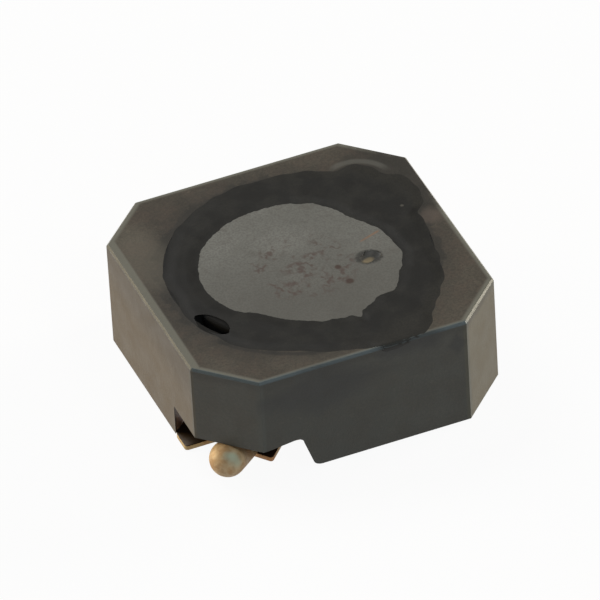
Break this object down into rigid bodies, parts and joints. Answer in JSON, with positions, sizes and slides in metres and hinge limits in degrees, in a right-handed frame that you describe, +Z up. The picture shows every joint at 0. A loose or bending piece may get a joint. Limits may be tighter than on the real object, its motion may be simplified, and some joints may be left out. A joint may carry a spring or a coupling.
{
  "type": "shielded power inductor",
  "caption": "Low square power inductor for surface mounting: a wound ferrite drum sealed with dark resin in a ferrite shield ring, on flat corner terminals.",
  "frame": {"origin": "centre of the part on the board plane, the underside of the two terminals", "axes": "+Z up from the board, +X and +Y along the flat sides, terminals at the -X -Y and +X +Y corners"},
  "size_m": [0.012, 0.012, 0.0047],
  "materials": {
    "ring_ferrite": "matte, brownish grey, worn",
    "drum_ferrite": "matte grey, fine-ground",
    "copper_wire": "glossy copper enamel",
    "terminal_metal": "thin dull tin over copper alloy",
    "solder_metal": "dull solder with brown flux",
    "resin": "dark epoxy, half gloss",
    "terminal_glue": "brown epoxy"
  },
  "bodies": {
    "root": {"ring_core": "ring_ferrite", "drum_core": "drum_ferrite", "winding": "copper_wire", "terminal_front": "terminal_metal", "terminal_rear": "terminal_metal", "solder_front": "solder_metal", "solder_rear": "solder_metal", "resin_fill": "resin", "glue_front": "terminal_glue", "glue_rear": "terminal_glue"}
  },
  "joints": []
}
